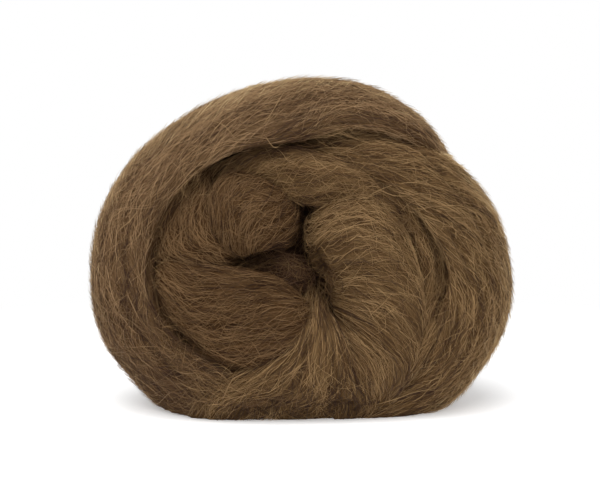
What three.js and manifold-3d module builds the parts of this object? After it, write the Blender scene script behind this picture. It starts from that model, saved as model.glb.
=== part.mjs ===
import * as THREE from "three";
import { mergeVertices } from "three/addons/utils/BufferGeometryUtils.js";
import Module from "manifold-3d";

// A ball of combed alpaca top, in millimetres. One soft band of fibre is wound round
// itself and tucked in. The ball stands on its rim with its coiled face towards -Y. The
// origin is the middle of the flat spot that it rests on, with +Z up.

// The filled inside of the ball, which the turns cover on every side.
const CORE = { x: 0, y: 10, z: 56, halfWidth: 68, halfDepth: 30, halfHeight: 66 };

// What lies below the resting face, to be cut away.
const GROUND = { width: 300, depth: 200, thickness: 40 };

// Points round each section of a turn, and the step along it.
const SIDES = 16;
const STEP_LENGTH = 7;
const FEWEST_STEPS = 12;
const MERGE_DISTANCE = 1e-4;

// Each table row is one section across a turn: its outer and inner edges, how far its
// face rises outwards between them (crown), how far it goes in behind (belly), and how
// far its middle runs ahead of its edges (lead), as in a fan.

// From under the bottom fan up the left side, over the top, and down the back right.
const OUTER_TURN = [
  { outer: [8, -6, -6], inner: [8, -28, 15], crown: 6, belly: 8 },
  { outer: [-24, 0, -8], inner: [-24.5, -36, 21], crown: 11, belly: 7 },
  { outer: [-55.5, 12, -3], inner: [-46, -40.5, 29], crown: 12.5, belly: 10 },
  { outer: [-70, 20, 21], inner: [-57, -40.5, 41.5], crown: 15, belly: 12 },
  { outer: [-73.5, 22, 46], inner: [-62.5, -40.5, 56.5], crown: 15, belly: 12 },
  { outer: [-71, 23, 71.5], inner: [-62.5, -40.5, 72], crown: 14, belly: 12 },
  { outer: [-60, 24, 92.5], inner: [-57, -40.5, 86], crown: 12.5, belly: 10 },
  { outer: [-44.5, 25, 107.5], inner: [-45.5, -41, 98.5], crown: 11, belly: 8 },
  { outer: [-22, 25, 117.5], inner: [-28, -41, 108], crown: 12, belly: 6 },
  { outer: [2, 26, 121], inner: [-3, -38, 112], crown: 13.5, belly: 5 },
  { outer: [24, 30, 117.5], inner: [20.5, -33, 117], crown: 11.5, belly: 6 },
  { outer: [40, 36, 105], inner: [43, -23, 110], crown: 9.5, belly: 8 },
  { outer: [49, 42, 88], inner: [58, -4, 93], crown: 8, belly: 14 },
  { outer: [55, 45, 66], inner: [70, 12, 69], crown: 8, belly: 18 },
  { outer: [54, 44, 42], inner: [72, 14, 42], crown: 8, belly: 18 },
  { outer: [44, 38, 18], inner: [60, 14, 14], crown: 8, belly: 16 },
  { outer: [22, 26, 0], inner: [38, 10, -8], crown: 8, belly: 8 },
];

// From under the outer turn at the top, over the right shoulder and down to the foot.
const SECOND_TURN = [
  { outer: [-28, 2, 106], inner: [-26, -21, 100], crown: 4, belly: 6 },
  { outer: [0, 2, 112], inner: [-2, -28, 105], crown: 5, belly: 4 },
  { outer: [18, 2, 113.5], inner: [12, -33, 102], crown: 7, belly: 4 },
  { outer: [38, 4, 107.5], inner: [29, -38.5, 97], crown: 9.5, belly: 4 },
  { outer: [56, 10, 93.5], inner: [43, -40.5, 86], crown: 12.5, belly: 4 },
  { outer: [69.5, 17, 76.5], inner: [53, -40.5, 72.5], crown: 14, belly: 4 },
  { outer: [74.5, 20, 58], inner: [57, -40, 60], crown: 15, belly: 4 },
  { outer: [74.5, 20, 38], inner: [56, -39, 49], crown: 16, belly: 5 },
  { outer: [67, 20, 20], inner: [53, -36, 35], crown: 14.5, belly: 10 },
  { outer: [56, 18, 3], inner: [48, -33, 21], crown: 11, belly: 13 },
  { outer: [39, 15, -6], inner: [37, -28, 9], crown: 9, belly: 10 },
  { outer: [20, 10, -8], inner: [20, -24, -2], crown: 8, belly: 8 },
];

// The narrow turn between the outer turns and the lobes.
const INNER_CAP = [
  { outer: [-42, -20, 95], inner: [-34, -20, 87], crown: 3, belly: 6 },
  { outer: [-21, -29, 106], inner: [-20, -27, 91], crown: 6, belly: 8 },
  { outer: [-8, -31, 108], inner: [-8, -29, 88], crown: 7, belly: 8 },
  { outer: [4, -33, 107], inner: [4, -31, 85], crown: 8, belly: 8 },
  { outer: [16, -35, 103.5], inner: [14, -28, 83.5], crown: 8, belly: 8 },
  { outer: [29, -37, 97], inner: [24, -26, 81], crown: 7, belly: 8 },
  { outer: [43, -36.5, 86], inner: [32, -24, 76], crown: 6.5, belly: 8 },
  { outer: [52, -34, 73], inner: [38, -24, 66], crown: 6.5, belly: 8 },
  { outer: [56.5, -31, 60], inner: [41, -25, 54], crown: 6.5, belly: 8 },
  { outer: [56.5, -31, 47], inner: [42, -27, 42], crown: 6.5, belly: 8 },
  { outer: [53, -33, 34], inner: [41, -29, 30], crown: 6, belly: 8 },
  { outer: [45, -31, 20], inner: [36, -28, 18], crown: 5, belly: 8 },
  { outer: [34, -28, 6], inner: [28, -26, 6], crown: 4, belly: 6 },
];

// From the pinch over in an arc to the right, and down into the middle slit.
const LEFT_LOBE = [
  { outer: [-29, -20, 71], inner: [-26, -20, 66.5], crown: 2, belly: 3 },
  { outer: [-34, -27, 77.5], inner: [-23.5, -28, 66.5], crown: 6, belly: 6 },
  { outer: [-36, -30, 86], inner: [-20, -32, 67], crown: 9.5, belly: 8 },
  { outer: [-34.5, -31, 93], inner: [-16.5, -33, 67.5], crown: 12, belly: 9 },
  { outer: [-28.5, -31, 98], inner: [-13.5, -33, 67.5], crown: 13, belly: 10 },
  { outer: [-21.5, -30, 98.5], inner: [-11.5, -31, 68], crown: 13, belly: 10 },
  { outer: [-16, -27, 96], inner: [-10.5, -27, 69], crown: 11.5, belly: 9 },
  { outer: [-13, -21, 91], inner: [-10.5, -20, 70.5], crown: 8.5, belly: 7 },
  { outer: [-11.5, -12, 85], inner: [-10, -12, 72], crown: 4, belly: 4 },
];

// From under the outer turn, down along the left crease and round into the pinch.
const LEFT_FAN = [
  { outer: [-50, -25, 93], inner: [-36, -25, 101], crown: 5, belly: 6 },
  { outer: [-55.5, -25, 81.5], inner: [-34, -31, 90], crown: 8, belly: 8 },
  { outer: [-58, -25, 72], inner: [-30.5, -34, 80.5], crown: 9, belly: 8 },
  { outer: [-55.5, -26, 63.5], inner: [-27.5, -33, 74.5], crown: 9.5, belly: 8 },
  { outer: [-46, -30, 58.5], inner: [-25, -30, 71.5], crown: 8, belly: 8 },
  { outer: [-34, -28, 59], inner: [-23.5, -26, 69], crown: 5, belly: 6 },
  { outer: [-24, -20, 61], inner: [-21.5, -19, 66], crown: 2, belly: 3 },
];

// Runs level from the left crease into the middle.
const LOWER_LOBE = [
  { outer: [-58, -18, 64.5], inner: [-56, -14, 48], crown: 5, belly: 6 },
  { outer: [-52, -30, 65], inner: [-50, -23, 39], crown: 10, belly: 8 },
  { outer: [-41, -35, 64.5], inner: [-41, -27, 29], crown: 14, belly: 10 },
  { outer: [-29.5, -36, 62.5], inner: [-29.5, -27, 21.5], crown: 15.5, belly: 12 },
  { outer: [-18, -36, 60], inner: [-18, -26, 20], crown: 15.5, belly: 12 },
  { outer: [-8.5, -35, 57], inner: [-7.5, -26, 23], crown: 13.5, belly: 12 },
  { outer: [-3, -31, 51.5], inner: [-1.5, -25, 30], crown: 10, belly: 10 },
  { outer: [1, -24, 45.5], inner: [1.5, -21, 36], crown: 5, belly: 6 },
  { outer: [4, -16, 43], inner: [4, -15, 38], crown: 2, belly: 3 },
];

// Out of the middle, over in one arc, and down to the foot at the right.
const RIGHT_DOME = [
  { outer: [13, -13, 66], inner: [15.5, -12, 55], crown: 3, belly: 6 },
  { outer: [13, -25, 78], inner: [15, -16.5, 56], crown: 7.5, belly: 9 },
  { outer: [11.5, -32, 87], inner: [13.5, -18.5, 56], crown: 12, belly: 10 },
  { outer: [17, -35, 91], inner: [13, -19.5, 53], crown: 15, belly: 12 },
  { outer: [29, -36, 89.5], inner: [12.5, -20, 50], crown: 15.5, belly: 12 },
  { outer: [40.5, -36, 77.5], inner: [12.5, -20, 47], crown: 16, belly: 12 },
  { outer: [46.5, -36, 59], inner: [13, -20, 44], crown: 16, belly: 12 },
  { outer: [48, -35, 42], inner: [13.5, -22, 39.5], crown: 16, belly: 12 },
  { outer: [46, -34, 27], inner: [13.5, -25, 33], crown: 14, belly: 12 },
  { outer: [38, -31, 14], inner: [13, -29, 26], crown: 10, belly: 10 },
  { outer: [28, -24, 3], inner: [12, -28, 17], crown: 6, belly: 10 },
  { outer: [18, -20, -6], inner: [10, -24, 6], crown: 5, belly: 8 },
];

// Down from the middle, widening to the foot and sweeping out to the left.
const BOTTOM_FAN = [
  { outer: [1, -14, 50], inner: [8, -14, 50], crown: 3, belly: 3 },
  { outer: [-1, -25, 43], inner: [10, -26, 43], crown: 6, belly: 6 },
  { outer: [-5, -33, 35], inner: [17, -33, 33], crown: 9, belly: 8, lead: 1 },
  { outer: [-13, -36, 28], inner: [25, -34, 22], crown: 9, belly: 10 },
  { outer: [-26, -38, 20.5], inner: [33, -29, 12], crown: 8, belly: 12, lead: -2 },
  { outer: [-39, -36, 13], inner: [35, -20, 4], crown: 6, belly: 12, lead: -4 },
  { outer: [-47, -24, 0], inner: [34, -12, -6], crown: 5, belly: 12, lead: -2 },
];

// The short strand that shows deep between the lobes.
const MIDDLE_STRAND = [
  { outer: [-24, -17, 69], inner: [-22, -17, 58], crown: 2, belly: 4 },
  { outer: [-15, -22, 67.5], inner: [-14, -22, 54], crown: 5, belly: 4 },
  { outer: [-7, -25, 65.5], inner: [-7, -25, 50.5], crown: 6.5, belly: 4 },
  { outer: [-1, -22, 63.5], inner: [-1, -22, 49], crown: 6, belly: 4 },
  { outer: [4, -14, 61], inner: [4, -14, 49], crown: 2, belly: 4 },
];

// The plain coil at the back: a spiral whose turns step inwards and outwards at once.
const BACK_COIL = {
  rows: 22,
  startAngle: -1.2,
  turns: 2.6,
  startRadius: 58,
  endRadius: 8.5,
  flatten: 0.88,
  startY: 22,
  endY: 37.5,
  halfWidth: 19,
  lean: 9,
  crown: 12,
  belly: 14,
  taperRows: 4,
};

function backCoilRows(coil) {
  const rows = [];
  for (let i = 0; i < coil.rows; i++) {
    const share = i / (coil.rows - 1);
    const angle = coil.startAngle - share * coil.turns * 2 * Math.PI;
    const radius = THREE.MathUtils.lerp(coil.startRadius, coil.endRadius, share);
    const y = THREE.MathUtils.lerp(coil.startY, coil.endY, share);
    const fromEnd = Math.min(i, coil.rows - 1 - i);
    const taper = Math.min(1, (fromEnd + 1) / coil.taperRows);
    const half = Math.min(coil.halfWidth, radius * 0.9) * Math.sqrt(taper);
    const edge = (r, depth) => [
      CORE.x + r * Math.cos(angle),
      depth,
      CORE.z + r * Math.sin(angle) * coil.flatten,
    ];
    rows.push({
      outer: edge(radius + half, y - coil.lean),
      inner: edge(radius - half, y + coil.lean * taper),
      crown: coil.crown * taper,
      belly: coil.belly,
    });
  }
  return rows;
}

// Catmull-Rom through four numbers, with t from 0 at p1 to 1 at p2.
function smooth(p0, p1, p2, p3, t) {
  const slope1 = (p2 - p0) / 2;
  const slope2 = (p3 - p1) / 2;
  const rise = p2 - p1;
  const square = 3 * rise - 2 * slope1 - slope2;
  const cube = slope1 + slope2 - 2 * rise;
  return p1 + t * (slope1 + t * (square + t * cube));
}

// The section at place u along a table, from 0 at its first row to 1 at its last.
function sectionAt(rows, u) {
  const place = THREE.MathUtils.clamp(u, 0, 1) * (rows.length - 1);
  const first = Math.min(Math.floor(place), rows.length - 2);
  const near = [-1, 0, 1, 2].map((step) => {
    return rows[THREE.MathUtils.clamp(first + step, 0, rows.length - 1)];
  });
  const blend = (read) => smooth(...near.map(read), place - first);
  const point = (edge) => new THREE.Vector3(...[0, 1, 2].map((k) => blend((row) => row[edge][k])));
  const outer = point("outer");
  const inner = point("inner");
  return {
    centre: outer.clone().add(inner).multiplyScalar(0.5),
    half: outer.clone().sub(inner).multiplyScalar(0.5),
    crown: blend((row) => row.crown),
    belly: blend((row) => row.belly),
    lead: blend((row) => row.lead ?? 0),
  };
}

// Sections at even places along a turn, each with the way that the turn runs there and
// the way that its face looks, which is square to the turn and to its own width.
function sectionsOf(rows) {
  let length = 0;
  for (let i = 1; i < rows.length; i++) {
    const [here, before] = [i, i - 1].map((k) => sectionAt(rows, k / (rows.length - 1)).centre);
    length += here.distanceTo(before);
  }
  const count = Math.max(FEWEST_STEPS, Math.round(length / STEP_LENGTH)) + 1;
  const middle = new THREE.Vector3(CORE.x, CORE.y, CORE.z);
  const nudge = 0.25 / count;
  const sections = [];
  let outwards = 0;
  for (let i = 0; i < count; i++) {
    const u = i / (count - 1);
    const section = sectionAt(rows, u);
    section.along = sectionAt(rows, u + nudge).centre.sub(sectionAt(rows, u - nudge).centre);
    section.along.normalize();
    section.face = section.along.clone().cross(section.half).normalize();
    outwards += section.face.dot(section.centre.clone().sub(middle));
    sections.push(section);
  }
  if (outwards < 0) sections.forEach((section) => section.face.negate());
  return sections;
}

// One turn as a closed tube of oval sections.
function turnGeometry(rows) {
  const sections = sectionsOf(rows);
  const points = [];
  const triangles = [];
  for (const section of sections) {
    for (let j = 0; j < SIDES; j++) {
      const angle = (2 * Math.PI * j) / SIDES;
      const rise = Math.sin(angle);
      const point = section.centre.clone();
      point.addScaledVector(section.half, Math.cos(angle));
      point.addScaledVector(section.face, rise * (rise > 0 ? section.crown : section.belly));
      point.addScaledVector(section.along, rise * rise * section.lead);
      points.push(...point.toArray());
    }
  }
  for (let i = 0; i + 1 < sections.length; i++) {
    for (let j = 0; j < SIDES; j++) {
      const next = (j + 1) % SIDES;
      const [a, b] = [i * SIDES + j, i * SIDES + next];
      const [c, d] = [a + SIDES, b + SIDES];
      triangles.push(a, b, d, a, d, c);
    }
  }
  const last = (sections.length - 1) * SIDES;
  for (let j = 1; j + 1 < SIDES; j++) {
    triangles.push(0, j + 1, j);
    triangles.push(last, last + j, last + j + 1);
  }
  const geometry = new THREE.BufferGeometry();
  geometry.setAttribute("position", new THREE.Float32BufferAttribute(points, 3));
  geometry.setIndex(triangles);
  return geometry;
}

function coreGeometry() {
  const geometry = new THREE.SphereGeometry(1, 32, 20);
  geometry.scale(CORE.halfWidth, CORE.halfDepth, CORE.halfHeight);
  geometry.translate(CORE.x, CORE.y, CORE.z);
  return geometry;
}

function groundGeometry() {
  const geometry = new THREE.BoxGeometry(GROUND.width, GROUND.depth, GROUND.thickness);
  geometry.translate(0, 0, -GROUND.thickness / 2);
  return geometry;
}

const wasm = await Module();
wasm.setup();

// A closed geometry as a solid that joins and cuts, with its faces turned outwards.
function solidFrom(geometry) {
  const bare = geometry.clone();
  bare.deleteAttribute("normal");
  bare.deleteAttribute("uv");
  const merged = mergeVertices(bare, MERGE_DISTANCE);
  const whole = [];
  for (let i = 0; i < merged.index.count; i += 3) {
    const [a, b, c] = merged.index.array.slice(i, i + 3);
    if (a !== b && b !== c && a !== c) whole.push([a, b, c]);
  }
  const build = (faces) => {
    const mesh = new wasm.Mesh({
      numProp: 3,
      vertProperties: merged.attributes.position.array,
      triVerts: new Uint32Array(faces.flat()),
    });
    return new wasm.Manifold(mesh);
  };
  const made = build(whole);
  return made.volume() > 0 ? made : build(whole.map(([a, b, c]) => [a, c, b]));
}

function geometryFrom(solid) {
  const mesh = solid.getMesh();
  const geometry = new THREE.BufferGeometry();
  const points = new THREE.Float32BufferAttribute(mesh.vertProperties, 3);
  geometry.setAttribute("position", points);
  geometry.setIndex(new THREE.Uint32BufferAttribute(mesh.triVerts, 1));
  geometry.computeVertexNormals();
  return geometry;
}

function woundTop() {
  const turns = [
    OUTER_TURN,
    SECOND_TURN,
    INNER_CAP,
    LEFT_LOBE,
    LEFT_FAN,
    LOWER_LOBE,
    RIGHT_DOME,
    BOTTOM_FAN,
    MIDDLE_STRAND,
    backCoilRows(BACK_COIL),
  ];
  let ball = solidFrom(coreGeometry());
  for (const rows of turns) ball = ball.add(solidFrom(turnGeometry(rows)));
  ball = ball.subtract(solidFrom(groundGeometry()));
  const material = new THREE.MeshStandardMaterial({
    color: 0x5f4730,
    roughness: 0.9,
    metalness: 0,
  });
  const mesh = new THREE.Mesh(geometryFrom(ball), material);
  mesh.name = "wound_top";
  return mesh;
}

const group = new THREE.Group();
group.add(woundTop());

export default group;
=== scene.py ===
"""A ball of combed alpaca top, standing on its rim with its coiled face to the camera.

One soft band of fibre is wound round itself and tucked in. Each turn of the band is a fine
closed skin with the relief of its fibres, and locks of fibre lie on the skins, follow their
run and fray at the rim. Sizes are in millimetres until a mesh is made. The turns' tables are
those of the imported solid, which the skins replace, but for two rows of the left lobe.
"""

import math
from collections import namedtuple

import bpy
import numpy as np
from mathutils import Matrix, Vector
from mathutils.bvhtree import BVHTree

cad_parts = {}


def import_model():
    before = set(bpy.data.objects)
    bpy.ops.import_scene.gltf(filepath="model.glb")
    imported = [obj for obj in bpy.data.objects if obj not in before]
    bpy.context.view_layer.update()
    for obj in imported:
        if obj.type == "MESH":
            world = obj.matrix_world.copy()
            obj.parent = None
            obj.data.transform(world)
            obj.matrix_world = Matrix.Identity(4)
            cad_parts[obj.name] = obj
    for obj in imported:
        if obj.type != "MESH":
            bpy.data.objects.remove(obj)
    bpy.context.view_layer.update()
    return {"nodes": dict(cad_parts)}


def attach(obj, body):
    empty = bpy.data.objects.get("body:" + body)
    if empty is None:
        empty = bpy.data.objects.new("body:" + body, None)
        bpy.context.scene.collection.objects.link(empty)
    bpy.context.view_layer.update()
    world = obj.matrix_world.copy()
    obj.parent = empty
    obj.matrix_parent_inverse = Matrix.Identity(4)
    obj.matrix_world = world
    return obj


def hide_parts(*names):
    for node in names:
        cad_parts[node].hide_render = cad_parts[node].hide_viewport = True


MM = 0.001
CAD_NODE = "wound_top"

# The camera stands where the photograph was taken from: a long lens, a little above.
CAMERA = {
    "aim": (-0.0008, 0.0, 0.065), "distance": 1.0, "elevation": 8.0, "lens": 150.0, "sensor": 36.0,
}

# The filled inside of the ball, which the turns cover.
CORE = {"centre": (0, 10, 56), "halves": (68, 30, 66)}

# Table columns: the outer edge of a section, its inner edge, how far its face rises
# between them (crown), how far it goes in behind (belly), and how far its middle runs
# ahead of its edges (lead), which only the bottom fan has.
OUTER_TURN = [
    (8, -6, -6, 8, -28, 15, 6, 8),
    (-24, 0, -8, -24.5, -36, 21, 11, 7),
    (-55.5, 12, -3, -46, -40.5, 29, 12.5, 10),
    (-70, 20, 21, -57, -40.5, 41.5, 15, 12),
    (-73.5, 22, 46, -62.5, -40.5, 56.5, 15, 12),
    (-71, 23, 71.5, -62.5, -40.5, 72, 14, 12),
    (-60, 24, 92.5, -57, -40.5, 86, 12.5, 10),
    (-44.5, 25, 107.5, -45.5, -41, 98.5, 11, 8),
    (-22, 25, 117.5, -28, -41, 108, 12, 6),
    (2, 26, 121, -3, -38, 112, 13.5, 5),
    (24, 30, 117.5, 20.5, -33, 117, 11.5, 6),
    (40, 36, 105, 43, -23, 110, 9.5, 8),
    (49, 42, 88, 58, -4, 93, 8, 14),
    (55, 45, 66, 70, 12, 69, 8, 18),
    (54, 44, 42, 72, 14, 42, 8, 18),
    (44, 38, 18, 60, 14, 14, 8, 16),
    (22, 26, 0, 38, 10, -8, 8, 8),
]
SECOND_TURN = [
    (-28, 2, 106, -26, -21, 100, 4, 6),
    (0, 2, 112, -2, -28, 105, 5, 4),
    (18, 2, 113.5, 12, -33, 102, 7, 4),
    (38, 4, 107.5, 29, -38.5, 97, 9.5, 4),
    (56, 10, 93.5, 43, -40.5, 86, 12.5, 4),
    (69.5, 17, 76.5, 53, -40.5, 72.5, 14, 4),
    (74.5, 20, 58, 57, -40, 60, 15, 4),
    (74.5, 20, 38, 56, -39, 49, 16, 5),
    (67, 20, 20, 53, -36, 35, 14.5, 10),
    (56, 18, 3, 48, -33, 21, 11, 13),
    (39, 15, -6, 37, -28, 9, 9, 10),
    (20, 10, -8, 20, -24, -2, 8, 8),
]
INNER_CAP = [
    (-42, -20, 95, -34, -20, 87, 3, 6),
    (-21, -29, 106, -20, -27, 91, 6, 8),
    (-8, -31, 108, -8, -29, 88, 7, 8),
    (4, -33, 107, 4, -31, 85, 8, 8),
    (16, -35, 103.5, 14, -28, 83.5, 8, 8),
    (29, -37, 97, 24, -26, 81, 7, 8),
    (43, -36.5, 86, 32, -24, 76, 6.5, 8),
    (52, -34, 73, 38, -24, 66, 6.5, 8),
    (56.5, -31, 60, 41, -25, 54, 6.5, 8),
    (56.5, -31, 47, 42, -27, 42, 6.5, 8),
    (53, -33, 34, 41, -29, 30, 6, 8),
    (45, -31, 20, 36, -28, 18, 5, 8),
    (34, -28, 6, 28, -26, 6, 4, 6),
]
# The seventh and eighth rows reach 3 mm farther to the middle than the solid's.
LEFT_LOBE = [
    (-29, -20, 71, -26, -20, 66.5, 2, 3),
    (-34, -27, 77.5, -23.5, -28, 66.5, 6, 6),
    (-36, -30, 86, -20, -32, 67, 9.5, 8),
    (-34.5, -31, 93, -16.5, -33, 67.5, 12, 9),
    (-28.5, -31, 98, -13.5, -33, 67.5, 13, 10),
    (-21.5, -30, 98.5, -11.5, -31, 68, 13, 10),
    (-16, -27, 96, -8, -27, 67.5, 11.5, 9),
    (-13, -21, 91, -7.5, -20, 68.5, 8.5, 7),
    (-11.5, -12, 85, -10, -12, 72, 4, 4),
]
LEFT_FAN = [
    (-50, -25, 93, -36, -25, 101, 5, 6),
    (-55.5, -25, 81.5, -34, -31, 90, 8, 8),
    (-58, -25, 72, -30.5, -34, 80.5, 9, 8),
    (-55.5, -26, 63.5, -27.5, -33, 74.5, 9.5, 8),
    (-46, -30, 58.5, -25, -30, 71.5, 8, 8),
    (-34, -28, 59, -23.5, -26, 69, 5, 6),
    (-24, -20, 61, -21.5, -19, 66, 2, 3),
]
LOWER_LOBE = [
    (-58, -18, 64.5, -56, -14, 48, 5, 6),
    (-52, -30, 65, -50, -23, 39, 10, 8),
    (-41, -35, 64.5, -41, -27, 29, 14, 10),
    (-29.5, -36, 62.5, -29.5, -27, 21.5, 15.5, 12),
    (-18, -36, 60, -18, -26, 20, 15.5, 12),
    (-8.5, -35, 57, -7.5, -26, 23, 13.5, 12),
    (-3, -31, 51.5, -1.5, -25, 30, 10, 10),
    (1, -24, 45.5, 1.5, -21, 36, 5, 6),
    (4, -16, 43, 4, -15, 38, 2, 3),
]
RIGHT_DOME = [
    (13, -13, 66, 15.5, -12, 55, 3, 6),
    (13, -25, 78, 15, -16.5, 56, 7.5, 9),
    (11.5, -32, 87, 13.5, -18.5, 56, 12, 10),
    (17, -35, 91, 13, -19.5, 53, 15, 12),
    (29, -36, 89.5, 12.5, -20, 50, 15.5, 12),
    (40.5, -36, 77.5, 12.5, -20, 47, 16, 12),
    (46.5, -36, 59, 13, -20, 44, 16, 12),
    (48, -35, 42, 13.5, -22, 39.5, 16, 12),
    (46, -34, 27, 13.5, -25, 33, 14, 12),
    (38, -31, 14, 13, -29, 26, 10, 10),
    (28, -24, 3, 12, -28, 17, 6, 10),
    (18, -20, -6, 10, -24, 6, 5, 8),
]
BOTTOM_FAN = [
    (1, -14, 50, 8, -14, 50, 3, 3, 0),
    (-1, -25, 43, 10, -26, 43, 6, 6, 0),
    (-5, -33, 35, 17, -33, 33, 9, 8, 1),
    (-13, -36, 28, 25, -34, 22, 9, 10, 0),
    (-26, -38, 20.5, 33, -29, 12, 8, 12, -2),
    (-39, -36, 13, 35, -20, 4, 6, 12, -4),
    (-47, -24, 0, 34, -12, -6, 5, 12, -2),
]
MIDDLE_STRAND = [
    (-24, -17, 69, -22, -17, 58, 2, 4),
    (-15, -22, 67.5, -14, -22, 54, 5, 4),
    (-7, -25, 65.5, -7, -25, 50.5, 6.5, 4),
    (-1, -22, 63.5, -1, -22, 49, 6, 4),
    (4, -14, 61, 4, -14, 49, 2, 4),
]

# The plain coil at the back: a spiral whose turns step inwards and outwards at once. Half a
# section takes half_share of its radius at most.
BACK_COIL = {
    "rows": 22, "start_angle": -1.2, "turns": 2.6, "radius": (58, 8.5), "depth": (22, 37.5),
    "flatten": 0.88, "half_width": 19, "half_share": 0.9, "lean": 9, "crown": 12, "belly": 14,
    "taper_rows": 4,
}


def back_coil_rows(coil):
    """The back coil's table, with the columns of the others."""
    rows = []
    for i in range(coil["rows"]):
        share = i / (coil["rows"] - 1)
        angle = coil["start_angle"] - share * coil["turns"] * 2 * math.pi
        radius, depth = (np.interp(share, (0, 1), coil[ends]) for ends in ("radius", "depth"))
        taper = min(1, (min(i, coil["rows"] - 1 - i) + 1) / coil["taper_rows"])
        half = min(coil["half_width"], radius * coil["half_share"]) * math.sqrt(taper)
        row = []
        for side, fall in ((1, -1), (-1, taper)):
            r = radius + side * half
            x = CORE["centre"][0] + r * math.cos(angle)
            z = CORE["centre"][2] + r * math.sin(angle) * coil["flatten"]
            row += [x, depth + coil["lean"] * fall, z]
        rows.append((*row, coil["crown"] * taper, coil["belly"]))
    return rows


NOISE_CELLS = 128


def noise(seed, x, y):
    """Smooth noise from -1 to 1 with a random value at every whole x and y."""
    values = np.random.default_rng(seed).uniform(-1, 1, (NOISE_CELLS, NOISE_CELLS))
    column, row = np.floor(x).astype(int), np.floor(y).astype(int)
    right, up = x - column, y - row
    right, up = right * right * (3 - 2 * right), up * up * (3 - 2 * up)

    def corner(i, j):
        return values[(column + i) % NOISE_CELLS, (row + j) % NOISE_CELLS]

    low = corner(0, 0) * (1 - right) + corner(1, 0) * right
    high = corner(0, 1) * (1 - right) + corner(1, 1) * right
    return low * (1 - up) + high * up


def ease(low, high, x):
    """0 below low, 1 above high, smooth between."""
    t = np.clip((x - low) / (high - low), 0, 1)
    return t * t * (3 - 2 * t)


def unit(vectors):
    length = np.linalg.norm(vectors, axis=-1, keepdims=True)
    return vectors / np.maximum(length, 1e-9)


# The photograph's frame in pixels: furrows and loose fibres are placed in it.
FRAME_WIDTH, FRAME_HEIGHT = 600, 492
PIXELS = CAMERA["lens"] / CAMERA["sensor"] * FRAME_WIDTH


def camera_axes():
    """Where the camera stands in metres, and its ways right, up and ahead."""
    tilt = math.radians(CAMERA["elevation"])
    back = np.array([0, -math.cos(tilt), math.sin(tilt)])
    eye = np.array(CAMERA["aim"]) + back * CAMERA["distance"]
    up = np.array([0, math.sin(tilt), math.cos(tilt)])
    return eye, np.array([1.0, 0, 0]), up, -back


TO_CAMERA = -camera_axes()[3]


def in_photo(points):
    """Where points in millimetres show in the photograph's frame, in pixels."""
    eye, right, up, ahead = camera_axes()
    seen = points * MM - eye
    scale = PIXELS / (seen @ ahead)
    across, down = scale * (seen @ right), -scale * (seen @ up)
    return np.stack([FRAME_WIDTH / 2 + across, FRAME_HEIGHT / 2 + down], -1)


def photo_ray(place):
    """The camera's place and the way from it through a pixel of the photograph."""
    eye, right, up, ahead = camera_axes()
    across, down = place[0] - FRAME_WIDTH / 2, place[1] - FRAME_HEIGHT / 2
    return eye, unit(ahead + (right * across - up * down) / PIXELS)


# The outline is farther out than this rounded square in the photograph's pixels, and faces
# the camera by less than look.
OUTLINE = {"middle": (301, 250), "halves": (208, 170), "power": 2.2, "least": 0.7, "look": 0.5}


def on_outline(points, normals):
    """1 where the ball's outline runs, falling to 0 where its face turns to the camera."""
    off = abs(in_photo(points) - OUTLINE["middle"]) / OUTLINE["halves"]
    outside = (off ** OUTLINE["power"]).sum(-1) > OUTLINE["least"]
    return outside * (1 - ease(0, OUTLINE["look"], abs(normals @ TO_CAMERA)))


def painted_light_and_shade_at(places):
    """How much lighter the patches' painted light and shade make the fibres at places in the
    photograph.
    """
    lighter = np.zeros(len(places))
    for *middle, half_x, half_y, change in PAINTED_LIGHT_AND_SHADE:
        off = (places - middle) / (half_x, half_y)
        lighter += change * np.exp(-(off**2).sum(-1))
    return lighter


def off_route(places, route):
    """How far places lie from a route of straight stretches, and their share of its way."""
    route = np.reshape(route, (-1, 2)).astype(float)
    stretches = np.linalg.norm(np.diff(route, axis=0), axis=1)
    nearest, share = np.full(places.shape[:-1], np.inf), np.zeros(places.shape[:-1])
    for k, (start, end) in enumerate(zip(route, route[1:])):
        way = end - start
        t = np.clip(((places - start) @ way) / (way @ way), 0, 1)
        distance = np.linalg.norm(places - start - t[..., None] * way, axis=-1)
        closer = distance < nearest
        nearest = np.where(closer, distance, nearest)
        share = np.where(closer, (stretches[:k].sum() + t * stretches[k]) / stretches.sum(), share)
    return nearest, share


# The crease between the outer turn and the turns inside it, x, y, x, y in the photograph.
CREASE = (
    234, 154, 210, 172, 181, 196, 165, 224, 152, 256, 150, 288,
    159, 306, 169, 324, 191, 344, 213, 360, 236, 369, 268, 380,
)
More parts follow.
